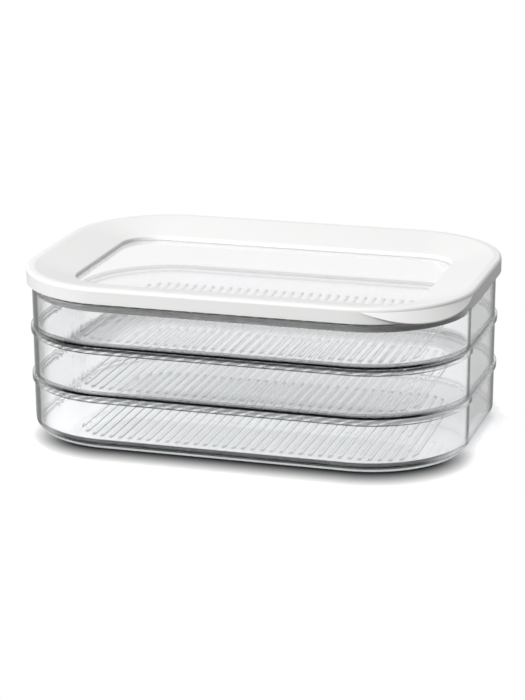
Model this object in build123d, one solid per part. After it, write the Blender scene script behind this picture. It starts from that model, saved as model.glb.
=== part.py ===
from build123d import *
import math
import os

# A stack of three identical clear trays under a white lid frame with a clear
# pane. All sizes are in millimetres. The origin is on the table, under the
# middle of the stack, with X along the long side and Z up.

# Tray, in plan: the outline of the wall where it meets the step below it
tray_length = 246.4
tray_width = 169.4
tray_corner = 55.0

# The trays from the bottom up, and their sizes in height
tray_nodes = ("tray_bottom", "tray_middle", "tray_top")
tray_pitch = 27.4
foot_height = 3.0
floor_thick = 1.5

# Tray wall, step and rim
wall = 1.8
wall_draft = 0.2
step_thick = 1.6
foot_clearance = 0.4
rim_proud = 1.4
rim_height = 3.5
inner_round = 1.2
step_bevel = 0.5
rim_bevel = 0.4

# Ribs moulded on the tray floor, running front to back
rib_pitch = 5.4
rib_width = 2.6
rib_top_width = 1.6
rib_height = 0.5
ribs_corner = 22.0

# Margins from the tray's outline to the field of ribs
margin_left = 31.2
margin_right = 23.2
margin_front = 17.2
margin_rear = 31.2

# Lid frame, measured from the tray rim that it sits on
lid_rise = 5.7
lid_wall = 1.3
skirt_clearance = 0.35
skirt_drop = 2.9
lid_edge_round = 2.0
plug_clearance = 0.3
plug_wall = 1.5
plug_depth = 8.4
plug_tip_bevel = 0.4
plate = 2.0
land_width = 4.5

# Window in the lid frame
window_length = 195.0
window_width = 111.0
window_corner = 20.0
dish_depth = 6.1
window_step = 2.4
pane_thick = 1.5
pane_lap = 4.0
pane_clearance = 0.2
pane_rib = 1.3

# Stops inside the lid's channel, which rest on the tray rim
stop_width = 1.6
stop_root = 0.6
long_side_stop_count = 3
short_side_stop_count = 2

# Lip that flares out at the front right corner of the lid
grip_proud = 4.4
grip_face = 0.8
grip_wall = 1.4
grip_half = 36.0

# How near an edge must lie to a height and to the outline to be picked there
height_match = 0.01
outline_match = 0.05

# Sizes that follow from those above
ribs_left = margin_left - tray_length / 2
ribs_right = tray_length / 2 - margin_right
ribs_front = margin_front - tray_width / 2
ribs_rear = tray_width / 2 - margin_rear
foot_inset = wall + foot_clearance
tray_height = foot_height + tray_pitch
step_top = foot_height + step_thick
rim_bottom = tray_height - rim_height
lid_overhang = rim_proud + skirt_clearance + lid_wall
lid_seat = len(tray_nodes) * tray_pitch + foot_height
lid_top = lid_seat + lid_rise
skirt_bottom = lid_seat - skirt_drop
plug_outer = wall + plug_clearance
plug_inner = plug_outer + plug_wall
plug_bottom = lid_seat - plug_depth
pane_pocket = pane_lap + pane_clearance
pane_frame = pane_pocket + pane_rib
window_edge = lid_top - dish_depth
pane_top = window_edge - window_step
pane_bottom = pane_top - pane_thick
channel_top = lid_top - plate


def outline(height, inset):
    """The tray's rounded outline at a height, set in by a distance all round."""
    shape = RectangleRounded(
        tray_length - 2 * inset,
        tray_width - 2 * inset,
        tray_corner - inset,
    )
    return Plane.XY.offset(height) * shape


def window_outline(height, grow):
    """The window's rounded outline at a height, grown by a distance all round."""
    shape = RectangleRounded(
        window_length + 2 * grow,
        window_width + 2 * grow,
        window_corner + grow,
    )
    return Plane.XY.offset(height) * shape


def band(low, low_inset, high, high_inset):
    """A prism between two heights whose outline tapers from one inset to the other."""
    faces = [outline(low, low_inset), outline(high, high_inset)]
    return loft(faces, ruled=True)


def edges_at(solid, height, inset):
    """The closed chain of edges at a height that follows the outline at an inset."""
    reach = tray_length / 2 - inset
    side = tray_width / 2 - inset
    chosen = []
    for edge in solid.edges().filter_by_position(Axis.Z, height - height_match, height + height_match):
        box = edge.bounding_box()
        far_x = max(abs(box.min.X), abs(box.max.X))
        far_y = max(abs(box.min.Y), abs(box.max.Y))
        if min(abs(far_x - reach), abs(far_y - side)) < outline_match:
            chosen.append(edge)
    return chosen


def rib_reach(x):
    """How far a rib stops short of the field's straight ends, near its round corners."""
    from_left = x - ribs_left
    from_right = ribs_right - x
    into_corner = ribs_corner - min(from_left, from_right)
    if into_corner <= 0:
        return 0.0
    return ribs_corner - math.sqrt(ribs_corner**2 - into_corner**2)


def rib(x):
    """One rib: a low bar whose flanks and ends all slope in towards its top."""
    length = ribs_rear - ribs_front - 2 * rib_reach(x)
    middle = (ribs_rear + ribs_front) / 2
    slope = rib_width - rib_top_width
    base = Pos(x, middle, floor_thick) * Rectangle(rib_width, length)
    top = Pos(x, middle, floor_thick + rib_height) * Rectangle(rib_top_width, length - slope)
    return loft([base, top], ruled=True)


def make_tray():
    """A tray standing on the origin: foot, step, wall and proud rim, with floor ribs."""
    body = band(0, foot_inset, foot_height, foot_inset)
    body += band(foot_height, 0, rim_bottom, -wall_draft)
    body += band(rim_bottom, -rim_proud, tray_height, -rim_proud)
    hollow = band(floor_thick, foot_inset + wall, step_top, foot_inset + wall)
    hollow += band(step_top, wall, tray_height, wall - wall_draft)
    body -= hollow
    body = fillet(edges_at(body, floor_thick, foot_inset + wall), inner_round)
    body = chamfer(edges_at(body, foot_height, 0), step_bevel)
    body = chamfer(edges_at(body, rim_bottom, -rim_proud), rim_bevel)
    body = chamfer(edges_at(body, tray_height, -rim_proud), rim_bevel)
    count = int((ribs_right - ribs_left - rib_width) / rib_pitch) + 1
    first = (ribs_left + ribs_right - (count - 1) * rib_pitch) / 2
    bars = [rib(first + number * rib_pitch) for number in range(count)]
    return body.fuse(*bars)


def make_grip():
    """The lip that flares out of the lid's corner, hollow below for a fingertip.

    Seen from the corner, its lower edge is a parabola that dips to the skirt's edge.
    """
    radius = tray_corner + lid_overhang
    root = radius - lid_wall / 2
    tip = radius + grip_proud
    top = lid_top - lid_edge_round
    under = top - grip_wall * (top - skirt_bottom) / grip_proud
    profile = Polyline(
        (root, top),
        (radius, top),
        (tip, skirt_bottom + grip_face),
        (tip, skirt_bottom),
        (tip - grip_wall, skirt_bottom),
        (radius, under),
        (root, under),
        close=True,
    )
    flare = Rot(Z=-90) * revolve(Plane.XZ * make_face(profile), Axis.Z, 90)
    arch = Bezier((-grip_half, top), (0, 2 * skirt_bottom - top), (grip_half, top))
    front = make_face(arch + Line(arch @ 1, arch @ 0))
    trim = extrude(Plane.XZ * front, tip)
    lip = flare & (Rot(Z=45) * trim)
    return Pos(tray_length / 2 - tray_corner, tray_corner - tray_width / 2, 0) * lip


def make_stop(x, y, turn):
    """A small block across the lid's channel that the tray rim stops against."""
    inner = tray_corner - plug_outer - stop_root
    outer = tray_corner + rim_proud + skirt_clearance + stop_root
    high = channel_top + stop_root
    block = Box(stop_width, outer - inner, high - lid_seat)
    place = Pos(x, y, (lid_seat + high) / 2) * Rot(Z=turn) * Pos(0, -(inner + outer) / 2, 0)
    return place * block


def spread(count, half):
    """Places for a number of stops, evenly along a straight side."""
    return [(2 * number + 1 - count) * half / count for number in range(count)]


def make_stops():
    """All the stops: some on each straight side and one in each corner."""
    half_x = tray_length / 2 - tray_corner
    half_y = tray_width / 2 - tray_corner
    stops = []
    for x in spread(long_side_stop_count, half_x):
        stops.append(make_stop(x, -half_y, 0))
        stops.append(make_stop(x, half_y, 180))
    for y in spread(short_side_stop_count, half_y):
        stops.append(make_stop(half_x, y, 90))
        stops.append(make_stop(-half_x, y, -90))
    for side_x, side_y, turn in ((1, -1, 45), (1, 1, 135), (-1, 1, -135), (-1, -1, -45)):
        stops.append(make_stop(side_x * half_x, side_y * half_y, turn))
    return stops


def under_dish(from_window):
    """Height of the frame's sloping underside at a distance out from the window."""
    border = (tray_length - window_length) / 2 + lid_overhang - land_width
    return window_edge + dish_depth * from_window / border - plate


def make_channel():
    """The space between the skirt and the plug, which the tray's rim goes up into."""
    outside = band(skirt_bottom, lid_wall - lid_overhang, channel_top, lid_wall - lid_overhang)
    return outside - band(skirt_bottom, plug_outer, channel_top, plug_outer)


def make_hollow():
    """The space inside the plug, under the sloping frame and round the pane's pocket."""
    high = under_dish((tray_length - window_length) / 2 - plug_inner)
    low = under_dish(pane_frame)
    straight = band(pane_bottom, plug_inner, high, plug_inner)
    slope = loft([outline(high, plug_inner), window_outline(low, pane_frame)], ruled=True)
    core = extrude(window_outline(pane_bottom, pane_frame), low - pane_bottom)
    return band(plug_bottom, plug_inner, pane_bottom, plug_inner) + (straight - slope - core)


def make_frame():
    """The lid frame: skirt, raised rim, dished top, window opening and plug."""
    body = band(skirt_bottom, -lid_overhang, lid_top, -lid_overhang)
    body = fillet(edges_at(body, lid_top, -lid_overhang), lid_edge_round)
    body -= loft([outline(lid_top, land_width - lid_overhang), window_outline(window_edge, 0)], ruled=True)
    body -= make_channel()
    body += band(plug_bottom, plug_outer, skirt_bottom, plug_outer)
    body -= make_hollow()
    body -= extrude(window_outline(pane_bottom, pane_pocket), pane_thick)
    body -= extrude(window_outline(pane_top, 0), window_step)
    body = chamfer(edges_at(body, plug_bottom, plug_outer), plug_tip_bevel)
    body = body.fuse(*make_stops())
    return body.fuse(make_grip())


def make_pane():
    """The clear pane, held under the edge of the window."""
    return extrude(window_outline(pane_bottom, pane_lap), pane_thick)


def write(node, solid):
    """Write one piece to its own file, and say how large it is."""
    solid.label = node
    export_step(solid, "parts/" + node + ".step")
    size = solid.bounding_box().size
    print(node, "volume", round(solid.volume), "size", [round(value, 1) for value in size])


os.makedirs("parts", exist_ok=True)
tray = make_tray()
for level, node in enumerate(tray_nodes):
    write(node, Pos(0, 0, level * tray_pitch) * tray)
write("lid_frame", make_frame())
write("lid_window", make_pane())
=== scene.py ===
# %% [markdown]
# A stack of three clear food trays under a white lid with a window. The packed
# model is loaded first, as a fixed frame: it says where every piece is and what
# moves with what. Everything below is placed by it, in metres, with +Z up.

# %% Load the frame
import math

import bpy
import numpy as np
from mathutils import Matrix, Vector


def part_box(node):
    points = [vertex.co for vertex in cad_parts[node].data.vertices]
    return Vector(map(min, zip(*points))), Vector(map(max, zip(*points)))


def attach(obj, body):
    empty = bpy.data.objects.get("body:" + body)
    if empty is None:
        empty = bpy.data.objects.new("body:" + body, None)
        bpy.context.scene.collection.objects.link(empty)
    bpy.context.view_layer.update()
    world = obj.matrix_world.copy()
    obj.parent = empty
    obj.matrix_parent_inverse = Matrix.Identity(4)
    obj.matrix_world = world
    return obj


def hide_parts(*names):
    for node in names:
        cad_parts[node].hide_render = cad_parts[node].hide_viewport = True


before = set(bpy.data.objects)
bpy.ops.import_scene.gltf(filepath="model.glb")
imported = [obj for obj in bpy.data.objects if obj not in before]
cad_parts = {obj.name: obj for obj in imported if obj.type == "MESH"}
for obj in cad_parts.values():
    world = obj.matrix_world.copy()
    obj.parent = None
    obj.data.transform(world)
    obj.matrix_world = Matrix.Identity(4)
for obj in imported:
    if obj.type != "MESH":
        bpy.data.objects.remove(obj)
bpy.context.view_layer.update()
scene = bpy.context.scene
scene.view_settings.view_transform = "Standard"
MM = 0.001
print("nodes", sorted(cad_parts))

# %% [markdown]
# The camera comes next, because a picture can be set beside the photograph only
# from the same place. A long lens at well over a metre keeps the sides nearly
# parallel. It is given as a maker would say it: how far round, how high, how
# far off, and the point it looks at. The last angle rolls it by a third of a
# degree, because the photograph leans that much.

# %% Camera
PICTURE_HIGH = 700
FOCAL_PIXELS = 2448.25
SENSOR = 36.0
VIEW_ROUND = math.radians(16.808)
VIEW_UP = math.radians(16.649)
VIEW_ROLL = math.radians(-0.316)
VIEW_FAR = 1376.035 * MM
LOOK_AT = Vector((-1.888, 0.0, 37.325)) * MM


def aim(thing, place, target, roll=0.0):
    """Stands a camera or lamp at a place, so that its -Z looks at the target."""
    back = (place - target).normalized()
    right = Vector((0, 0, 1)).cross(back).normalized()
    up = back.cross(right)
    turned = right * math.cos(roll) + up * math.sin(roll)
    risen = up * math.cos(roll) - right * math.sin(roll)
    axes = Matrix((turned, risen, back)).transposed().to_4x4()
    thing.matrix_world = Matrix.Translation(place) @ axes


lens = bpy.data.cameras.new("camera")
lens.sensor_width = SENSOR
lens.lens = FOCAL_PIXELS / PICTURE_HIGH * SENSOR
lens.clip_end = 50.0
camera = bpy.data.objects.new("camera", lens)
scene.collection.objects.link(camera)
flat = math.cos(VIEW_UP)
towards_camera = Vector((math.sin(VIEW_ROUND) * flat, -math.cos(VIEW_ROUND) * flat, math.sin(VIEW_UP)))
aim(camera, LOOK_AT + towards_camera * VIEW_FAR, LOOK_AT, VIEW_ROLL)
scene.camera = camera
print("camera at", [round(v, 4) for v in camera.location], "lens", round(lens.lens, 2))

# %% [markdown]
# Shader maths reads best as sums. A Wire wraps one output socket of a node, and
# its operators add the Math nodes, so that a wavy roughness can be written as
# 0.3 + 0.1 * noise. Every other node comes from one method, node, which takes
# the type, its settings and what goes into its sockets. A node without an output
# socket, such as the material's own end node, gives a Wire with nothing to feed.

# %% Wires
RAY_KINDS = ("Camera", "Glossy", "Transmission")


class Wire:
    """A socket in a node tree that can be added, multiplied and fed onwards."""

    def __init__(self, tree, socket=None):
        self.tree = tree
        self.socket = socket

    def node(self, kind, settings=None, inputs=None, output=0):
        """Adds a node: its settings first, then values or wires into its sockets."""
        made = self.tree.nodes.new(kind)
        for name, value in (settings or {}).items():
            setattr(made, name, value)
        for name, value in (inputs or {}).items():
            if isinstance(value, Wire):
                self.tree.links.new(value.socket, made.inputs[name])
            else:
                made.inputs[name].default_value = value
        return Wire(self.tree, made.outputs[output] if len(made.outputs) else None)

    def maths(self, operation, other=0.0, swapped=False):
        """A Math node on this wire and another wire or value, in either order."""
        pair = (other, self) if swapped else (self, other)
        return self.node("ShaderNodeMath", {"operation": operation}, dict(enumerate(pair)))

    def __add__(self, other):
        return self.maths("ADD", other)

    def __radd__(self, other):
        return self.maths("ADD", other, swapped=True)

    def __sub__(self, other):
        return self.maths("SUBTRACT", other)

    def __rsub__(self, other):
        return self.maths("SUBTRACT", other, swapped=True)

    def __mul__(self, other):
        return self.maths("MULTIPLY", other)

    def __rmul__(self, other):
        return self.maths("MULTIPLY", other, swapped=True)

    def __truediv__(self, other):
        return self.maths("DIVIDE", other)

    def __abs__(self):
        return self.maths("ABSOLUTE")

    def clamped(self):
        """This value, kept between 0 and 1."""
        return self.maths("MAXIMUM", 0.0).maths("MINIMUM", 1.0)

    def ease(self, low, high, first=0.0, last=1.0):
        """Goes smoothly from the first value to the last while this one goes from low to high."""
        spread = {"Value": self, "From Min": low, "From Max": high, "To Min": first, "To Max": last}
        return self.node("ShaderNodeMapRange", {"interpolation_type": "SMOOTHSTEP"}, spread)

    def vector(self, operation, *others, output=0):
        """Vector maths on this wire, and on others where the operation takes them."""
        inputs = dict(enumerate((self, *others)))
        return self.node("ShaderNodeVectorMath", {"operation": operation}, inputs, output)

    def axis(self, letter):
        """One part of a vector: X, Y or Z."""
        return self.node("ShaderNodeSeparateXYZ", {}, {0: self}, letter)

    def coordinates(self, kind):
        """The point's place on its own piece, kind Object, or the way it faces, kind Normal."""
        return self.node("ShaderNodeTexCoord", output=kind)

    def noise(self, fineness, detail):
        """Smooth noise that stays with the piece: the finer, the smaller its spots."""
        spread = {"Vector": self.coordinates("Object"), "Scale": fineness, "Detail": detail}
        return self.node("ShaderNodeTexNoise", {}, spread)


def new_finish(name):
    """A material with an empty tree, and a Wire to start its nodes from."""
    finish = bpy.data.materials.new(name)
    finish.use_nodes = True
    finish.node_tree.nodes.clear()
    return finish, Wire(finish.node_tree)


def seen_by_camera(start, in_gloss=1.0):
    """1 for what the camera sees, directly, in gloss or through plastic, and 0 for light."""
    kinds = [start.node("ShaderNodeLightPath", output="Is %s Ray" % kind) for kind in RAY_KINDS]
    any_kind = (kinds[0] + in_gloss * kinds[1] + kinds[2]).maths("MINIMUM", 1.0)
    scattered = start.node("ShaderNodeLightPath", output="Diffuse Depth")
    return any_kind * (1 - scattered.maths("MINIMUM", 1.0))


print("wires ready for", len(RAY_KINDS), "kinds of ray")

# %% [markdown]
# Trays and lid share one plan: a rectangle with round corners. Such an outline is
# a core line, the rectangle of the corner centres, plus a radius along a normal.
# At any other distance in or out, the core and normals stay the same and only the
# radius changes, so every ring of a tray lies exactly beside its neighbours.

# %% The shared plan
tray_low, tray_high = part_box("tray_bottom")
TRAY_HEIGHT = (tray_high.z - tray_low.z) / MM
TRAY_PITCH = (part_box("tray_middle")[0].z - tray_low.z) / MM
RIM_PROUD = 1.4
CORNER = 55.0
HALF_LONG = (tray_high.x - tray_low.x) / MM / 2 - RIM_PROUD
HALF_WIDE = (tray_high.y - tray_low.y) / MM / 2 - RIM_PROUD
CORE_X = HALF_LONG - CORNER
CORE_Y = HALF_WIDE - CORNER
TRAYS = ("tray_bottom", "tray_middle", "tray_top")


def ring(core, normal, radius, height):
    """Points of an outline: the core line plus a radius along the normal, at a height."""
    plan = core + radius * normal
    level = np.broadcast_to(height, plan.shape[:1])
    return np.column_stack((plan, level))


print("tray outline", round(2 * HALF_LONG, 2), "by", round(2 * HALF_WIDE, 2), "mm")
print("tray pitch", round(TRAY_PITCH, 2), "mm")

# %% [markdown]
# The finishes ask where a point lies on the box. They read it from the piece's own
# coordinates, which stay with it wherever it is seen from. How far a point lies
# beyond the core rectangle gives two things: its distance from the trays' outline,
# and the way in which its side of the box faces.

# %% Places on the box
ABOVE_ALL = 1.0


def height_of(start):
    """Height above the table in millimetres."""
    return start.coordinates("Object").axis("Z") / MM


def upright_share(start):
    """1 on upright walls and 0 on level ones: one less the square of the normal's rise."""
    rise = start.coordinates("Normal").axis("Z")
    return 1 - rise * rise


def from_core(start):
    """How far a point lies beyond the core rectangle along X and along Y, in metres.

    The core is given a height above all of the box, so Z drops out.
    """
    core = (CORE_X * MM, CORE_Y * MM, ABOVE_ALL)
    beyond = start.coordinates("Object").vector("ABSOLUTE").vector("SUBTRACT", core)
    return beyond.vector("MAXIMUM", (0.0, 0.0, 0.0))


def plan_distance(start):
    """How far a point lies outside the trays' outline in the plan, in millimetres."""
    return from_core(start).vector("LENGTH", output="Value") / MM - CORNER


def facing_way(start, way):
    """How squarely a side of the box faces a way in the plan: 1 if fully, -1 if away."""
    side = start.coordinates("Object").vector("SIGN")
    away = from_core(start).vector("NORMALIZE").vector("MULTIPLY", side)
    return away.vector("DOT_PRODUCT", way, output="Value")


print("core rectangle", round(2 * CORE_X, 1), "by", round(2 * CORE_Y, 1), "mm")

# %% [markdown]
# Where two trays meet, light that enters the upper one's step is caught between
# its faces. The eye sees a black line there, a grey fade above it, and below it a
# grey rim that slanting light wedges cross. Path tracing finds this only in part
# and with much noise, so it is painted: the line, the fade and the grey rim are
# painted shade on the outer skin, and the wedges are painted light. Heights are
# counted from a level just under a rim, so one rule serves all trays.

# %% Rims and seams
FOOT_HEIGHT = 3.0
RIM_TALL = 3.5
LEVEL_BELOW = 1.3
RIM_EDGE = TRAY_HEIGHT - RIM_TALL + LEVEL_BELOW - TRAY_PITCH
RIM_SHADE = 0.32
SEAM = FOOT_HEIGHT + LEVEL_BELOW
SEAM_DARK = 0.2
SEAM_BLUR = 0.2
SEAM_FADE = 3.0
BASE_TOP = 5.9
BASE_BLUR = 0.3
BASE_SHADE = 0.1
STREAK_LENGTH = 8.8 * MM
STREAK_RISE = 0.33
STREAK_WANDER = 0.5
WANDER_FINENESS = 60.0
STREAK_FROM = 0.45
STREAK_FULL = 0.95
LOW_LINE_DARK = 0.93
LOW_LINE_BLUR = 0.3
LOW_LINE_TOP = 79.0
LOW_LINE_FADE = 1.0
HIGH_LINE_RISE = 0.12
HIGH_LINE_HALF = 0.3
HIGH_LINE_BLUR = 0.35


def rim_level(start):
    """Height above the level just under the nearest rim below, in millimetres."""
    return (height_of(start) + LEVEL_BELOW).maths("MODULO", TRAY_PITCH)


def seam_shade(start):
    """Painted shade: black in a seam, clearing upwards with the square of the climb above it.

    The lowest tray also has a band of painted shade that ends at BASE_TOP above the table.
    """
    level = rim_level(start)
    over_seam = level.ease(SEAM - SEAM_DARK - SEAM_BLUR, SEAM - SEAM_DARK)
    climb = ((level - SEAM) / SEAM_FADE).clamped()
    band = height_of(start).ease(BASE_TOP - BASE_BLUR, BASE_TOP + BASE_BLUR, BASE_SHADE, 1.0)
    return 1 - over_seam * (1 - climb * climb * band)


def painted_light_streaks(start):
    """Painted light: slanting light wedges along a rim, brightest where a wave turns over.

    The wave counts X less Y in streak lengths, less a share of the height, plus a
    wander. How far its fraction lies from a half, eased, is the wedge's light.
    """
    place = start.coordinates("Object")
    along = (place.axis("X") - place.axis("Y")) / STREAK_LENGTH
    wander = STREAK_WANDER * start.noise(WANDER_FINENESS, 0.0)
    turns = along - STREAK_RISE * rim_level(start) + wander
    wave = abs(2 * turns.maths("FRACT") - 1)
    return wave.ease(STREAK_FROM, STREAK_FULL)


def rim_shade(start):
    """Painted shade: grey at the heights of a rim, but clear in its painted light streaks."""
    in_rim = rim_level(start).ease(SEAM - SEAM_DARK, SEAM, 1.0, 0.0)
    return 1 - (1 - RIM_SHADE) * in_rim * (1 - painted_light_streaks(start))


def painted_shade_lines(start):
    """Two fine lines of painted shade: under a rim's lower edge, and in the seam above the rim.

    The top rim is behind the lid's skirt and has no line, so the low one stops there.
    """
    level = rim_level(start)
    below_lid = height_of(start).ease(LOW_LINE_TOP, LOW_LINE_TOP + LOW_LINE_FADE, 1.0, 0.0)
    low = level.ease(RIM_EDGE, RIM_EDGE + LOW_LINE_BLUR, 1.0, 0.0) * below_lid
    off_seam = abs(level - SEAM - HIGH_LINE_RISE)
    high = off_seam.ease(HIGH_LINE_HALF, HIGH_LINE_HALF + HIGH_LINE_BLUR, 1.0, 0.0)
    return (1 - LOW_LINE_DARK * low) * (1 - high)


print("rim edge and seam at", round(RIM_EDGE, 2), "and", round(SEAM, 2), "mm above the level")

# %% [markdown]
# A wall that turns away from the eye shows less of what lies behind it, and that
# is painted shade in the skin's colour. Layer Weight gives that slant from
# wherever the box is seen: 0 for a wall seen squarely and near 1 for one seen edge
# on. A round corner also bends the view into its own plastic, so it is painted
# nearly black where a flat wall at the same slant stays clear. That is the dark
# upright line beside a flat side. The foot gets painted shade along its lower and
# its upper edge.

# %% Slants, corners and the foot
SIDE_BLUR = 0.3
LEFT_FROM = 0.45
LEFT_FULL = 0.66
RIGHT_FROM = 0.66
RIGHT_FULL = 0.9
SLANT_SHADE = 0.35
REAR_FROM = 14.0
REAR_FULL = 30.0
REAR_SLANT_FROM = 0.6
REAR_SLANT_FULL = 0.7
REAR_SHADE = 0.03
CORNER_FROM = 0.66
CORNER_FULL = 0.74
CORNER_RUN = 0.5
CORNER_SHADE = 0.05
FOOT_INSET = 2.2
FOOT_FACE_FROM = -2.8
FOOT_FACE_FULL = -2.4
FOOT_DARK = 0.4
FOOT_BLUR = 0.3
LEDGE_DARK = 1.4
LEDGE_BLUR = 0.2
FOOT_CUT = 0.05


def slant_shade(start, slant):
    """Painted shade on sides at a slant: soon at the left, later and mostly rearwards at the right."""
    leftwards = start.coordinates("Normal").axis("X").ease(-SIDE_BLUR, SIDE_BLUR, 1.0, 0.0)
    rightwards = 1 - leftwards
    dim = leftwards * slant.ease(LEFT_FROM, LEFT_FULL) + rightwards * slant.ease(RIGHT_FROM, RIGHT_FULL)
    rearwards = (start.coordinates("Object").axis("Y") / MM).ease(REAR_FROM, REAR_FULL)
    rear = rightwards * rearwards * slant.ease(REAR_SLANT_FROM, REAR_SLANT_FULL)
    return (1 - (1 - SLANT_SHADE) * dim) * (1 - (1 - REAR_SHADE) * rear)


def corner_shade(start, slant):
    """Painted shade, nearly black, where a round corner turns away from the eye."""
    far = from_core(start)
    into_corner = far.axis("X").maths("MINIMUM", far.axis("Y")) / MM
    turned = into_corner.ease(0.0, CORNER_RUN) * slant.ease(CORNER_FROM, CORNER_FULL)
    return 1 - (1 - CORNER_SHADE) * turned


def foot_painted_shade(start, outside):
    """Painted shade: 1 along the foot's lower and upper edge, at the table and under the ledge, else 0.
    """
    height = height_of(start)
    low = height.ease(FOOT_DARK - FOOT_BLUR, FOOT_DARK + FOOT_BLUR, 1.0, 0.0)
    under_ledge = height.ease(FOOT_HEIGHT, FOOT_HEIGHT + FOOT_CUT, 1.0, 0.0)
    high = height.ease(LEDGE_DARK - LEDGE_BLUR, LEDGE_DARK + LEDGE_BLUR) * under_ledge
    return outside.ease(FOOT_FACE_FROM, FOOT_FACE_FULL) * (low + high)


print("corners darken from a slant of", CORNER_FROM, "to", CORNER_FULL)

# %% [markdown]
# All of these are painted shade on the skin, with painted light in the rim's
# streaks; the skin is the outer face of a tray where it is entered from outside.
# The seams are blackest in front and a little to the right, as in the
# photograph, and paler along the ends. Rounded edges everywhere get a soft line of
# painted shade. The ribs carry lines of painted shade in their mesh, because a
# clear rib on a clear floor hardly shows in soft light.

# %% The whole skin
SKIN_FROM = -1.2
SKIN_FULL = -0.8
SEAM_WAY = (0.17, -0.985, 0.0)
SEAM_TURNED = 0.45
SEAM_SQUARE = 0.85
SEAM_LEAST = 0.45
FOOT_SHADE = 0.03
EDGE_DARK = 0.2
RIB_DARK = 0.88


def skin_shade(start):
    """The painted shade of a tray's surface, from 0 for black to 1 for clear.

    An edge's share of painted shade is 4u(1-u), where u is how upright the surface
    is: 1 halfway round an edge, and 0 on the flat faces at its two sides.
    """
    outside = plan_distance(start)
    entering = 1 - start.node("ShaderNodeNewGeometry", output="Backfacing")
    skin = outside.ease(SKIN_FROM, SKIN_FULL) * entering
    slant = start.node("ShaderNodeLayerWeight", {}, {"Blend": 0.5}, "Facing")
    upright = upright_share(start)
    clear = 1 - upright * (1 - slant_shade(start, slant) * corner_shade(start, slant))
    square = abs(facing_way(start, SEAM_WAY)).ease(SEAM_TURNED, SEAM_SQUARE, SEAM_LEAST, 1.0)
    bands = 1 - square * (1 - seam_shade(start) * rim_shade(start) * painted_shade_lines(start))
    foot = (1 - FOOT_SHADE) * foot_painted_shade(start, outside) * entering * square
    edges = EDGE_DARK * 4 * upright * (1 - upright)
    # The ribs' painted shade is read from a point attribute of the mesh.
    ribs = RIB_DARK * start.node("ShaderNodeAttribute", {"attribute_name": "rib_painted_shade"}, output="Fac")
    shade = 1 - skin * (1 - clear * bands)
    return shade * (1 - foot) * (1 - edges) * (1 - ribs)


print("skin from", SKIN_FROM, "mm outwards")

# %% [markdown]
# The clear plastic is a real refracting solid: the trays' meshes have their true
# wall thickness, so the bright lines along rims and steps come from the shapes, as
# they do on a moulded tray, and so does a part of the dark ones. Lamps could not
# reach what lies behind glass, so for their rays, and for light that is mirrored
# over and over, the surface is a plain see-through film. A faint absorption inside
# makes long ways through the plastic, as along a rim, a little darker.

# %% Clear plastic
CLEAR_INDEX = 1.5
WAVE_FINENESS = 28.0
WAVE_STRENGTH = 0.08
WAVE_DEPTH = 0.4 * MM
SCUFF_FINENESS = 900.0
POLISH = 0.01
SCUFF = 0.03
FILM = (0.93, 0.935, 0.94, 1)
MIRRORINGS = 2.5
ABSORPTION = 30.0
TRAY_TINT = (0.98, 0.983, 0.985)
TRAY_INSIDE = (0.8, 0.82, 0.83, 1)
WINDOW_TINT = (0.985, 0.98, 0.99)
WINDOW_INSIDE = (0.82, 0.82, 0.86, 1)


def shaded(start, colour, shade):
    """A colour times a shade."""
    return start.node("ShaderNodeVectorMath", {"operation": "SCALE"}, {0: colour, "Scale": shade})


def bump(start, height, strength, depth):
    """A shallow relief from a height, as a normal to shade with."""
    return start.node("ShaderNodeBump", {}, {"Height": height, "Strength": strength, "Distance": depth})


def clear_finish(name, colour, inside, with_skin):
    """Refraction with faint moulding waves, a film for lamp rays, and absorption."""
    finish, start = new_finish(name)
    glass = start.node(
        "ShaderNodeBsdfPrincipled",
        {},
        {
            "Base Color": shaded(start, colour, skin_shade(start)) if with_skin else (*colour, 1),
            "Roughness": POLISH + SCUFF * start.noise(SCUFF_FINENESS, 3.0),
            "IOR": CLEAR_INDEX,
            "Transmission Weight": 1.0,
            "Normal": bump(start, start.noise(WAVE_FINENESS, 1.0), WAVE_STRENGTH, WAVE_DEPTH),
        },
    )
    film = start.node("ShaderNodeBsdfTransparent", {}, {"Color": FILM})
    from_lamp = start.node("ShaderNodeLightPath", output="Is Shadow Ray")
    trapped = start.node("ShaderNodeLightPath", output="Glossy Depth").maths("GREATER_THAN", MIRRORINGS)
    let_by = from_lamp.maths("MAXIMUM", trapped)
    surface = start.node("ShaderNodeMixShader", {}, {0: let_by, 1: glass, 2: film})
    body = start.node("ShaderNodeVolumeAbsorption", {}, {"Color": inside, "Density": ABSORPTION})
    start.node("ShaderNodeOutputMaterial", {}, {"Surface": surface, "Volume": body})
    return finish


clear_plastic = clear_finish("clear_tray_plastic", TRAY_TINT, TRAY_INSIDE, True)
window_plastic = clear_finish("clear_window_plastic", WINDOW_TINT, WINDOW_INSIDE, False)
for finish in (clear_plastic, window_plastic):
    print(finish.name, "with", len(finish.node_tree.nodes), "nodes")

# %% [markdown]
# The white plastic of the lid is opaque and satin: its gloss varies a little, and
# a very fine grain breaks up the highlights. Its plug goes down inside the top
# tray. Seen through that tray's wall it is a grey band under the skirt, in the
# lid's own shade, darkest at its lower edge, and that grey is painted shade in
# the white's colour, as on a seam.

# %% White plastic
WHITE = (0.9, 0.905, 0.895)
WHITE_INDEX = 1.48
SATIN = 0.46
SATIN_SPREAD = 0.1
CLOUD_FINENESS = 30.0
GRAIN_FINENESS = 1400.0
GRAIN_STRENGTH = 0.25
GRAIN_DEPTH = 0.02 * MM
PLUG_SHADE = 0.18
PLUG_WITHIN = -1.0
PLUG_FROM = 78.8
PLUG_TO = 81.0
PLUG_ROOT = 82.0
PLUG_END = 84.0


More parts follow.
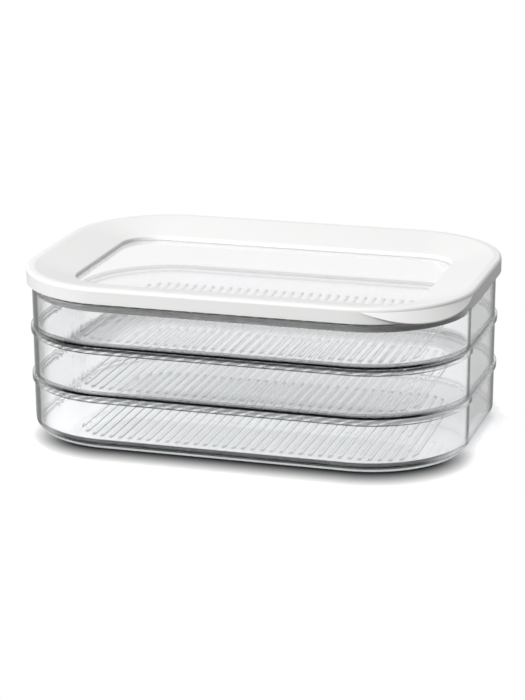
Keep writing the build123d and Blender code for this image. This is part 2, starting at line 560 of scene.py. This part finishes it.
def white_finish(name, colour):
    """Satin white: cloudy roughness, a fine grain as a shallow bump, and painted shade on the plug."""
    finish, start = new_finish(name)
    height = height_of(start)
    # The plug's grey band is painted shade, darkest at its lower end.
    within = plan_distance(start).ease(PLUG_WITHIN, 0.0, 1.0, 0.0)
    plug = within * height.ease(PLUG_ROOT, PLUG_END, 1.0, 0.0)
    shade = 1 - plug * (1 - height.ease(PLUG_FROM, PLUG_TO, PLUG_SHADE, 1.0))
    plastic = start.node(
        "ShaderNodeBsdfPrincipled",
        {},
        {
            "Base Color": shaded(start, colour, shade),
            "Roughness": SATIN + SATIN_SPREAD * start.noise(CLOUD_FINENESS, 2.0),
            "IOR": WHITE_INDEX,
            "Normal": bump(start, start.noise(GRAIN_FINENESS, 2.0), GRAIN_STRENGTH, GRAIN_DEPTH),
        },
    )
    start.node("ShaderNodeOutputMaterial", {}, {"Surface": plastic})
    return finish


white_plastic = white_finish("white_lid_plastic", WHITE)
print(white_plastic.name, "with", len(white_plastic.node_tree.nodes), "nodes")

# %% [markdown]
# No moulded edge is sharp, and a sharp edge would give glass nothing to bend the
# light with. The section of a piece is first given as rings at its corners, and
# soften then replaces each by an arc. A circle arc is a rational quadratic curve:
# it is drawn towards the corner with a weight that is the cosine of half the turn.

# %% Rounding a section's corners
ARC_STEPS = 5


def soften(rings, radii, closed=False):
    """Arcs in place of a section's corners, for all stations of the path at once.

    An arc starts a tangent's length before its corner, the radius times the
    tangent of half the turn, and ends as far after it. The curve between is
    (1-s)^2 A + 2s(1-s)w C + s^2 B, over the same sum of weights.
    """
    rings = np.asarray(rings)
    before = np.roll(rings, 1, axis=0) - rings
    after = np.roll(rings, -1, axis=0) - rings
    before = before / np.maximum(np.linalg.norm(before, axis=2, keepdims=True), 1e-9)
    after = after / np.maximum(np.linalg.norm(after, axis=2, keepdims=True), 1e-9)
    turn = np.clip(-np.sum(before * after, axis=2, keepdims=True), -0.999, 1.0)
    reach = np.asarray(radii)[:, None, None] * np.sqrt((1 - turn) / (1 + turn))
    weight = np.sqrt((1 + turn) / 2)[:, None]
    s = np.linspace(0, 1, ARC_STEPS + 1)[None, :, None, None]
    start = (rings + before * reach)[:, None]
    end = (rings + after * reach)[:, None]
    shares = ((1 - s) ** 2, 2 * s * (1 - s) * weight, s**2)
    arcs = (shares[0] * start + shares[1] * rings[:, None] + shares[2] * end) / sum(shares)
    if closed:
        return arcs.reshape(-1, *rings.shape[1:])
    inner = arcs[1:-1].reshape(-1, *rings.shape[1:])
    return np.concatenate((rings[:1], inner, rings[-1:]))


print("arcs of", ARC_STEPS, "steps")

# %% [markdown]
# Smooth shading averages the normals at a point, and a big flat face beside a
# tiny arc would be bent by it. So the normals are worked out here: each face adds
# its normal times its area squared, and flat faces keep their own.

# %% From arrays to a mesh
def put_mesh(name, points, faces, finish, body):
    """A mesh in metres from points in millimetres, smooth, on its body and slot."""
    corners = points[faces]
    area = np.cross(corners[:, 2] - corners[:, 0], corners[:, 3] - corners[:, 1]) / 2
    volume = np.sum(corners.mean(axis=1) * area) / 3
    if volume < 0:
        faces = faces[:, ::-1]
        area = -area
    heavy = area * np.linalg.norm(area, axis=1, keepdims=True)
    normals = np.zeros_like(points)
    for corner in range(4):
        np.add.at(normals, faces[:, corner], heavy)
    normals /= np.maximum(np.linalg.norm(normals, axis=1, keepdims=True), 1e-12)
    mesh = bpy.data.meshes.new(name)
    mesh.from_pydata(points * MM, [], faces)
    mesh.polygons.foreach_set("use_smooth", np.ones(len(faces), dtype=bool))
    mesh.update()
    mesh.normals_split_custom_set_from_vertices(normals)
    mesh.materials.append(finish)
    piece = bpy.data.objects.new(name, mesh)
    scene.collection.objects.link(piece)
    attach(piece, body)
    print(name, len(faces), "faces, volume", round(abs(volume) / 1000, 1), "cm3")
    return piece


def stack_faces(first, count, stations):
    """Faces between rings stacked one after another, each closed on itself."""
    index = first + np.arange(count * stations).reshape(count, stations)
    beside = np.roll(index, -1, axis=1)
    return np.stack((index[:-1], beside[:-1], beside[1:], index[1:]), axis=-1).reshape(-1, 4)


print("a tube of 2 rings and 6 stations has", len(stack_faces(0, 2, 6)), "faces")

# %% [markdown]
# The floor is where the tray's character lies: thirty-odd low ribs that keep the
# slices off the wet. It is a grid of columns across the tray, front to back. The
# columns stand where a rib's section needs them, so each rib gets a smooth hump
# without wasting faces on the flats between. The grid's border is the same list
# of stations that the wall is carried round, so floor and wall share their points.

# %% Where the ribs are
RIB_PITCH = 5.4
RIB_HALF = 1.3
RIB_TOP = 0.45
RIB_HEIGHT = 0.12
RIB_SHAPE = np.array((-1.0, -0.86, -0.72, -0.58, -RIB_TOP, 0.0, RIB_TOP, 0.58, 0.72, 0.86, 1.0))
MARGIN_LEFT = 31.2
MARGIN_RIGHT = 23.2
MARGIN_FRONT = 17.2
MARGIN_REAR = 31.2
RIB_LEFT = MARGIN_LEFT - HALF_LONG
RIB_RIGHT = HALF_LONG - MARGIN_RIGHT
RIB_FRONT = MARGIN_FRONT - HALF_WIDE
RIB_REAR = HALF_WIDE - MARGIN_REAR
RIB_CORNER = 22.0
rib_count = int((RIB_RIGHT - RIB_LEFT - 2 * RIB_HALF) / RIB_PITCH) + 1
rib_first = (RIB_LEFT + RIB_RIGHT - (rib_count - 1) * RIB_PITCH) / 2
rib_middles = rib_first + RIB_PITCH * np.arange(rib_count)
print(rib_count, "ribs from x", round(rib_middles[0], 2), "to", round(rib_middles[-1], 2))

# %% [markdown]
# The grid's columns have two duties. Across a rib they follow its section, and in
# the plan's round corners they stand at even turns, so the border stays round. A
# corner's column that would fall on a rib's is left out. The hump is the smooth
# step 3f^2 - 2f^3, where f is how far up its flank a column stands.

# %% Columns of the floor grid
WALL = 1.8
INNER_ROUND = 1.2
FLAT_MARGIN = 0.2
FLAT_RADIUS = CORNER - FOOT_INSET - WALL - INNER_ROUND - FLAT_MARGIN
CORNER_STEPS = 30
NEAREST = 0.3


def floor_columns():
    """Places along X: each rib's section, and even turns of the round corners."""
    ribs = (rib_middles[:, None] + RIB_HALF * RIB_SHAPE).ravel()
    turns = CORE_X + FLAT_RADIUS * np.sin(np.linspace(0, np.pi / 2, CORNER_STEPS + 1))
    round_ends = np.concatenate((-turns[::-1], turns))
    gap = np.abs(round_ends[:, None] - ribs[None, :]).min(axis=1)
    return np.sort(np.concatenate((ribs, round_ends[gap > NEAREST])))


columns = floor_columns()
beside_rib = np.abs(columns[:, None] - rib_middles).min(axis=1) / RIB_HALF
flank = np.clip((1 - beside_rib) / (1 - RIB_TOP), 0, 1)
hump = flank**2 * (3 - 2 * flank)
print(len(columns), "columns")

# %% [markdown]
# Each column runs from the front edge to the back edge of the flat floor. Between
# them lie the ribs' ends, where the hump rises over less than a millimetre, and
# the field's round corners cut the outer ribs short. The ribs' painted shade is a
# number at each point: a fine line near the foot of each flank, a faint fill
# between them, and full strength over the last few millimetres at the ribs' ends,
# which look dark in the photograph and more so at the rear.

# %% Rows of the floor grid
# END_TIP and FRONT_TIP set the painted shade at the ribs' ends.
END_PLACES = np.array((0.0, 0.3, 0.6, 0.9, 3.4, 4.4))
END_LENGTH = 0.9
END_TIP = np.array((0.0, 0.9, 1.0, 1.0, 1.0, 0.0))
FRONT_TIP = 0.72
LINE_PLACE = 0.86
LINE_HALF = 0.14
LINE_STRENGTH = 0.95
FILL_STRENGTH = 0.14
ENDS_WITHIN = 0.85
turn_x = np.clip((np.abs(columns) - CORE_X) / FLAT_RADIUS, 0, 1) * np.sign(columns)
turn_y = np.sqrt(1 - turn_x**2)
half_depth = CORE_Y + FLAT_RADIUS * turn_y
into_corner = np.clip(RIB_CORNER - np.minimum(columns - RIB_LEFT, RIB_RIGHT - columns), 0, RIB_CORNER)
cut_short = RIB_CORNER - np.sqrt(RIB_CORNER**2 - into_corner**2)
round_end = RIB_HALF * (1 - np.sqrt(1 - np.clip(beside_rib, 0, 1) ** 2))
front_end = np.maximum(RIB_FRONT + cut_short + round_end, -ENDS_WITHIN * half_depth)
rear_end = np.minimum(RIB_REAR - cut_short - round_end, ENDS_WITHIN * half_depth)
rows = np.concatenate(
    (
        -half_depth[:, None],
        front_end[:, None] + END_PLACES,
        rear_end[:, None] - END_PLACES[::-1],
        half_depth[:, None],
    ),
    axis=1,
)
fade = np.clip(END_PLACES / END_LENGTH, 0, 1)
fade = fade**2 * (3 - 2 * fade)
rise = np.concatenate(((0.0,), fade, fade[::-1], (0.0,)))
tip = np.concatenate(((0.0,), FRONT_TIP * END_TIP, END_TIP[::-1], (0.0,)))
floor_x = np.broadcast_to(columns[:, None], rows.shape)
floor_lift = RIB_HEIGHT * hump[:, None] * rise
# Painted shade of the ribs: lines near the flanks' feet, a faint fill, and the ends.
flank_painted_line = LINE_STRENGTH * np.clip(1 - np.abs(beside_rib - LINE_PLACE) / LINE_HALF, 0, 1)
painted_along_ribs = flank_painted_line + FILL_STRENGTH * hump
floor_painted_shade = np.maximum(hump[:, None] * tip, painted_along_ribs[:, None] * rise)
print("floor grid", rows.shape)

# %% [markdown]
# The wall is carried round the floor's border. Each point on it is turned into a
# core point and a normal, so the wall's rings can be worked out at any distance:
# at the two ends the normal is plain left or right, and along the front and rear
# it leans by the turn of the round corner.

# %% The border of the grid, as a path for the wall
def border(shape):
    """Grid indices along the border, anticlockwise from the front left corner."""
    last_i, last_j = shape[0] - 1, shape[1] - 1
    front = [(i, 0) for i in range(last_i)]
    right = [(last_i, j) for j in range(last_j)]
    rear = [(i, last_j) for i in range(last_i, 0, -1)]
    left = [(0, j) for j in range(last_j, 0, -1)]
    return np.array(front + right + rear + left).T


border_i, border_j = border(rows.shape)
at_end = (border_i == 0) | (border_i == len(columns) - 1)
side = np.where(border_j == 0, -1.0, np.where(border_j == rows.shape[1] - 1, 1.0, 0.0))
core_x = np.clip(columns[border_i], -CORE_X, CORE_X)
core_y = np.where(at_end, np.clip(rows[border_i, border_j], -CORE_Y, CORE_Y), side * CORE_Y)
normal_x = np.where(at_end, np.sign(columns[border_i]), turn_x[border_i])
normal_y = np.where(at_end, 0.0, side * turn_y[border_i])
path_core = np.column_stack((core_x, core_y))
path_normal = np.column_stack((normal_x, normal_y))
print("path of", len(path_core), "stations")

# %% [markdown]
# The wall's section runs from the edge of the underside out to the foot, up over
# the step that rests on the tray below, up the wall, round the proud rim, down
# the inside and in to the floor. Each corner is a distance out from the plan's
# outline, a height, and the radius of its round. The ledge is drawn a hair above
# the rim that it stands on, because two clear faces in one place would speckle.

# %% The tray's section
SEAT_GAP = 0.06
LEDGE = FOOT_HEIGHT + SEAT_GAP
STEP_TOP = 4.6
FLOOR = 1.5
DRAFT = 0.2
RIM_LOW = TRAY_HEIGHT - RIM_TALL
FLAT_EDGE = FLAT_RADIUS - CORNER
TRAY_SECTION = (
    (FLAT_EDGE, 0.0, 0.0),
    (-FOOT_INSET, 0.0, 0.5),
    (-FOOT_INSET, LEDGE, 0.25),
    (0.0, LEDGE, 0.7),
    (DRAFT, RIM_LOW, 0.3),
    (RIM_PROUD, RIM_LOW, 0.5),
    (RIM_PROUD, TRAY_HEIGHT, 0.5),
    (DRAFT - WALL, TRAY_HEIGHT, 0.4),
    (-WALL, STEP_TOP, 0.5),
    (-WALL - FOOT_INSET, STEP_TOP, 0.6),
    (-WALL - FOOT_INSET, FLOOR, INNER_ROUND),
    (FLAT_EDGE, FLOOR, 0.0),
)


def tray_surface():
    """The tray's rings round the path, with the two grids that close them.

    The grid below is flat and the one above carries the ribs. Their border points
    are the first and the last ring's own, so only points inside are added.
    """
    rings = [ring(path_core, path_normal, CORNER + out, up) for out, up, _ in TRAY_SECTION]
    rings = soften(rings, [radius for _, _, radius in TRAY_SECTION])
    count, stations = rings.shape[:2]
    inside = np.ones(rows.shape, dtype=bool)
    inside[border_i, border_j] = False
    within = np.count_nonzero(inside)
    under = np.column_stack((floor_x[inside], rows[inside], np.zeros(within)))
    over = np.column_stack((floor_x[inside], rows[inside], FLOOR + floor_lift[inside]))
    faces = [stack_faces(0, count, stations)]
    for border_first, turned in ((0, True), ((count - 1) * stations, False)):
        index = np.empty(rows.shape, dtype=int)
        index[border_i, border_j] = border_first + np.arange(stations)
        begin = count * stations + (0 if turned else within)
        index[inside] = begin + np.arange(within)
        cells = np.stack((index[:-1, :-1], index[1:, :-1], index[1:, 1:], index[:-1, 1:]), axis=-1)
        cells = cells.reshape(-1, 4)
        faces.append(cells[:, ::-1] if turned else cells)
    # The ribs' painted shade, 0 on the wall's rings and the underside.
    outline = np.concatenate((np.zeros(count * stations + within), floor_painted_shade[inside]))
    return np.concatenate((rings.reshape(-1, 3), under, over)), np.concatenate(faces), outline


# Each tray carries the ribs' painted shade as a point attribute.
tray_points, tray_faces, rib_painted_shade = tray_surface()
for level, node in enumerate(TRAYS):
    lifted = tray_points + np.array((0.0, 0.0, level * TRAY_PITCH))
    tray = put_mesh(node + "_moulding", lifted, tray_faces, clear_plastic, node)
    tray.data.attributes.new("rib_painted_shade", "FLOAT", "POINT").data.foreach_set("value", rib_painted_shade)
    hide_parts(node)

# %% [markdown]
# The lid frame has two outlines. Its outside follows the trays' plan, and its
# window has a smaller rectangle with tighter corners. The sloping top runs from
# one to the other. Both are walked in step, corner by corner, so a point on the
# slope is a share of the way between two points with the same normal.

# %% The lid's path
LID_CORNER_STEPS = 40
LID_SIDE_STEPS = 8
WINDOW_HALF_X = 97.5
WINDOW_HALF_Y = 55.5
WINDOW_CORNER = 20.0


def lid_path(core_long, core_wide):
    """Core points and normals, corner by corner: a straight side, then a quarter turn."""
    starts = np.radians((-90.0, 0.0, 90.0, 180.0))
    signs = np.array(((1, -1), (1, 1), (-1, 1), (-1, -1)))
    centres = signs * (core_long, core_wide)
    along = np.linspace(0, 1, LID_SIDE_STEPS, endpoint=False)[None, :, None]
    straight = np.roll(centres, 1, axis=0)[:, None] * (1 - along) + centres[:, None] * along
    still = np.repeat(starts[:, None], LID_SIDE_STEPS, axis=1)
    turning = starts[:, None] + np.linspace(0, np.pi / 2, LID_CORNER_STEPS, endpoint=False)
    angles = np.concatenate((still, turning), axis=1).ravel()
    cores = np.concatenate((straight, np.repeat(centres[:, None], LID_CORNER_STEPS, axis=1)), axis=1)
    return cores.reshape(-1, 2), np.column_stack((np.cos(angles), np.sin(angles)))


lid_core, lid_normal = lid_path(CORE_X, CORE_Y)
window_core, _ = lid_path(WINDOW_HALF_X - WINDOW_CORNER, WINDOW_HALF_Y - WINDOW_CORNER)


def outer_ring(out, up):
    """A ring of the trays' plan, a distance out from their outline, at a height."""
    return ring(lid_core, lid_normal, CORNER + out, up)


def window_ring(grow, up):
    """A ring of the window's plan, grown by a distance, at a height."""
    return ring(window_core, lid_normal, WINDOW_CORNER + grow, up)


print("lid path of", len(lid_core), "stations")

# %% [markdown]
# One closed section makes the whole frame: window edge, slope, raised rim, skirt,
# the channel that takes the tray's rim, the plug that goes down inside it, the
# hollow under the slope and the pocket for the pane. The raised rim turns down
# into the slope over a wide easy round, as it does on the real lid.

# %% The lid's section
lid_low, lid_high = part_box("lid_frame")
LID_TOP = lid_high.z / MM
LID_SEAT = len(TRAYS) * TRAY_PITCH + FOOT_HEIGHT
LID_OUT = 3.05
LID_WALL = 1.3
SKIRT_DROP = 2.9
SKIRT_LOW = LID_SEAT - SKIRT_DROP
PLUG_LOW = lid_low.z / MM
PLUG_OUT = -2.1
PLUG_IN = -3.6
LAND = 4.5
DISH = 6.1
WINDOW_EDGE = LID_TOP - DISH
WINDOW_STEP = 2.4
PANE_TOP = WINDOW_EDGE - WINDOW_STEP
PANE_THICK = 1.5
PANE_LOW = PANE_TOP - PANE_THICK
PLATE = 2.0
CHANNEL_TOP = LID_TOP - PLATE
POCKET = 4.2
POCKET_FRAME = 5.5
window_to_outline = HALF_LONG - WINDOW_HALF_X
slope_width = window_to_outline + LID_OUT - LAND


def under_slope(from_window):
    """Height of the sloping underside, a plate's thickness below a straight slope."""
    return WINDOW_EDGE + DISH * from_window / slope_width - PLATE


LID_SECTION = (
    (window_ring(0.0, PANE_TOP), 0.2),
    (window_ring(0.0, WINDOW_EDGE), 0.9),
    (outer_ring(LID_OUT - LAND, LID_TOP), 3.0),
    (outer_ring(LID_OUT, LID_TOP), 1.7),
    (outer_ring(LID_OUT, SKIRT_LOW), 0.35),
    (outer_ring(LID_OUT - LID_WALL, SKIRT_LOW), 0.35),
    (outer_ring(LID_OUT - LID_WALL, CHANNEL_TOP), 0.5),
    (outer_ring(PLUG_OUT, CHANNEL_TOP), 0.5),
    (outer_ring(PLUG_OUT, PLUG_LOW), 0.4),
    (outer_ring(PLUG_IN, PLUG_LOW), 0.4),
    (outer_ring(PLUG_IN, under_slope(window_to_outline + PLUG_IN)), 0.5),
    (window_ring(POCKET_FRAME, under_slope(POCKET_FRAME)), 0.3),
    (window_ring(POCKET_FRAME, PANE_LOW), 0.2),
    (window_ring(POCKET, PANE_LOW), 0.2),
    (window_ring(POCKET, PANE_TOP), 0.2),
)
lid_corners = [corner for corner, _ in LID_SECTION]
lid_rings = soften(lid_corners, [radius for _, radius in LID_SECTION], closed=True)


def tube_faces(count, stations, closed):
    """Faces of a closed section's rings, along an open path or one that meets itself."""
    index = np.arange(count * stations).reshape(count, stations)
    if closed:
        index = np.concatenate((index, index[:, :1]), axis=1)
    after = np.roll(index, -1, axis=0)
    return np.stack((index[:, :-1], index[:, 1:], after[:, 1:], after[:, :-1]), axis=-1).reshape(-1, 4)


lid_faces = tube_faces(*lid_rings.shape[:2], closed=True)
lid_shell = put_mesh(
    "lid_frame_moulding", lid_rings.reshape(-1, 3), lid_faces, white_plastic, "lid"
)
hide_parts("lid_frame")

# %% [markdown]
# At the front right corner the skirt flares out into a lip for a fingertip. Seen
# from the corner its lower edge is a parabola: lowest and most proud in the
# middle, and all but gone at both ends, where it runs back up into the skirt. A
# point's share of the lip is 1-(s/h)^2, s to the side of the middle and h half wide.

# %% The lid's corner lip
LIP_PROUD = 4.4
LIP_HALF = 36.0
LIP_FACE = 0.8
LIP_WALL = 1.4
LIP_HOLLOW = 2.2
LIP_LEAST = 0.015
LIP_SUNK = 0.1
LIP_REACH = 2.0
LIP_STATIONS = 73
LID_ROUND = 2.0
lip_radius = CORNER + LID_OUT
lip_top = LID_TOP - LID_ROUND
lip_swing = np.linspace(-1, 1, LIP_STATIONS) * math.asin(LIP_HALF / lip_radius)
lip_side = (lip_radius + LIP_REACH) * np.sin(lip_swing)
lip_share = np.clip(1 - (lip_side / LIP_HALF) ** 2, LIP_LEAST, 1)
lip_angle = lip_swing - math.pi / 4
lip_normal = np.column_stack((np.cos(lip_angle), np.sin(lip_angle)))
lip_core = np.broadcast_to((CORE_X, -CORE_Y), lip_normal.shape)
lip_edge = lip_top - lip_share * (lip_top - SKIRT_LOW)
lip_out = lip_radius + LIP_PROUD * lip_share[:, None]
lip_in = lip_out - LIP_WALL * lip_share[:, None]
lip_under = lip_edge + LIP_HOLLOW * lip_share
lip_root = lip_radius - LID_WALL / 2


def lip_ring(out, up):
    """A line along the lip, a distance out from the corner's middle, at a height."""
    return ring(lip_core, lip_normal, out, up)


lip_rings = soften(
    [
        lip_ring(lip_root, lip_top),
        lip_ring(lip_radius, lip_top),
        lip_ring(lip_out, lip_edge + LIP_FACE * lip_share),
        lip_ring(lip_out, lip_edge),
        lip_ring(lip_in, lip_edge),
        lip_ring(lip_radius - LIP_SUNK, lip_under),
        lip_ring(lip_root, lip_under),
    ],
    (0.0, 0.3, 0.3, 0.25, 0.25, 0.1, 0.0),
)
lip_faces = tube_faces(len(lip_rings), LIP_STATIONS, closed=False)
put_mesh("lid_corner_lip", lip_rings.reshape(-1, 3), lip_faces, white_plastic, "lid")

# %% [markdown]
# The pane is a flat clear plate with a soft edge, held in the pocket under the
# window's edge, with a hair of room above and below. Its two flat faces run in
# rings from the edge to a spine along the middle, as long as the window is longer
# than wide, so their faces stay even.

# %% The window pane
PANE_GAP = 0.05
PANE_LAP = 4.0
PANE_BORDER = 1.0
SPINE_HALF = WINDOW_HALF_X - WINDOW_HALF_Y
INWARDS = np.array((0.75, 0.5, 0.25, 0.0))[:, None, None]
pane_low = PANE_LOW + PANE_GAP
pane_high = PANE_TOP - PANE_GAP
pane_rings = soften(
    [
        window_ring(PANE_LAP - PANE_BORDER, pane_low),
        window_ring(PANE_LAP, pane_low),
        window_ring(PANE_LAP, pane_high),
        window_ring(PANE_LAP - PANE_BORDER, pane_high),
    ],
    (0.0, 0.2, 0.2, 0.0),
)
spine_x = np.clip(window_core[:, 0], -SPINE_HALF, SPINE_HALF)
spine = np.column_stack((spine_x, np.zeros(len(spine_x))))
inner_plan = spine * (1 - INWARDS) + pane_rings[0][:, :2] * INWARDS
low_plate = np.dstack((inner_plan, np.full((*inner_plan.shape[:2], 1), pane_low)))
high_plate = low_plate + np.array((0.0, 0.0, pane_high - pane_low))
pane_stack = np.concatenate((low_plate[::-1], pane_rings, high_plate))
pane_faces = stack_faces(0, len(pane_stack), len(spine))
pane = put_mesh(
    "lid_window_pane", pane_stack.reshape(-1, 3), pane_faces, window_plastic, "lid"
)
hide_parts("lid_window")

# %% [markdown]
# The stage is a wide pale floor. The lamp and the room light it as any matt board,
# and a little glow is added for what the camera sees of it, half as much in gloss,
# so that the unshaded floor comes out white. Soft light leaves too little shade
# beside a clear box, so a painted shadow darkens the board towards the foot:
# widest in front and a little to the right, where the photograph has it, narrow
# behind, and least right under the trays. Well away from the box the floor is
# plain white.

# %% The floor
FLOOR_HALF = 5.0
FLOOR_DROP = 0.1
FLOOR_SHADE = 0.75
FLOOR_GLOW = 0.46
FLOOR_GLOSS = 0.5
FLOOR_CORNERS = ((-1, -1), (1, -1), (1, 1), (-1, 1))
SHADE_WAY = (0.289, -0.957, 0.0)
SHADE_NARROW = 0.05
SHADE_IN = 0.8
SHADE_WIDE = 24.0
SHADE_POWER = 1.35
SHADE_UNDER = 7.0
UNDER_TRAY = 0.8
SIDE_FROM = 0.1
SIDE_FULL = 0.85
SIDE_SHARE = 0.2
WHITE_NARROW = 0.12
WHITE_FROM = 22.0
WHITE_FULL = 36.0


def floor_painted_shadow(start, facing, apart):
    """Painted shadow: 1 on the unshaded floor, less towards the foot: (d/w)^p of the distance.

    The distance d is stretched where the box's side faces away from the shade's
    way, so the shade is narrower there, and also weaker.
    """
    step_off = (apart + FOOT_INSET + SHADE_IN) / facing
    open_floor = (step_off / SHADE_WIDE).clamped().maths("POWER", SHADE_POWER)
    under = apart.ease(-SHADE_UNDER, -FOOT_INSET, UNDER_TRAY, 0.0)
    strength = facing.ease(SIDE_FROM, SIDE_FULL, SIDE_SHARE, 1.0)
    return 1 - strength * (1 - open_floor.maths("MAXIMUM", under))


floor_finish, start = new_finish("pale_floor")
seen = seen_by_camera(start, FLOOR_GLOSS)
apart = plan_distance(start)
facing = facing_way(start, SHADE_WAY).maths("MAXIMUM", SHADE_NARROW)
# The floor's painted shadow scales both the board's colour and its glow.
painted_shadow_share = floor_painted_shadow(start, facing, apart)
board = start.node("ShaderNodeBsdfDiffuse", {}, {"Color": FLOOR_SHADE * painted_shadow_share})
glow = start.node("ShaderNodeEmission", {}, {"Strength": FLOOR_GLOW * painted_shadow_share * seen})
both = start.node("ShaderNodeAddShader", {}, {0: board, 1: glow})
white = start.node("ShaderNodeEmission", {}, {"Strength": seen})
beyond = (apart / facing.maths("MAXIMUM", WHITE_NARROW)).ease(WHITE_FROM, WHITE_FULL)
sweep = start.node("ShaderNodeMixShader", {}, {0: beyond, 1: both, 2: white})
start.node("ShaderNodeOutputMaterial", {}, {"Surface": sweep})
floor_mesh = bpy.data.meshes.new("floor")
floor_places = [(x * FLOOR_HALF, y * FLOOR_HALF, -FLOOR_DROP * MM) for x, y in FLOOR_CORNERS]
floor_mesh.from_pydata(floor_places, [], [(0, 1, 2, 3)])
floor_mesh.materials.append(floor_finish)
floor = bpy.data.objects.new("floor", floor_mesh)
scene.collection.objects.link(floor)
print("floor", 2 * FLOOR_HALF, "m wide")

# %% [markdown]
# The light is a white room and one soft lamp. The room shows as plain white
# behind the box and in its gloss, and lights it at about two thirds of that. The
# lamp stands in front at the left, well above the lid, so the right side is
# darker and the shadow falls behind the box, where it hardly shows.

# %% The light
ROOM = 0.645
LAMP_PLACE = (-0.734, -1.175, 0.8)
LAMP_TARGET = (0.0, 0.0, 0.04)
LAMP_WIDTH = 0.4
LAMP_POWER = 16.2
world = bpy.data.worlds.new("room")
world.use_nodes = True
world.node_tree.nodes.clear()
scene.world = world
start = Wire(world.node_tree)
strength = ROOM + (1 - ROOM) * seen_by_camera(start)
room = start.node("ShaderNodeBackground", {}, {"Color": (1, 1, 1, 1), "Strength": strength})
start.node("ShaderNodeOutputWorld", {}, {"Surface": room})
light = bpy.data.lights.new("lamp", "AREA")
light.size = LAMP_WIDTH
light.energy = LAMP_POWER
lamp = bpy.data.objects.new("lamp", light)
scene.collection.objects.link(lamp)
aim(lamp, Vector(LAMP_PLACE), Vector(LAMP_TARGET))
print("lamp of", LAMP_POWER, "W at", LAMP_PLACE)
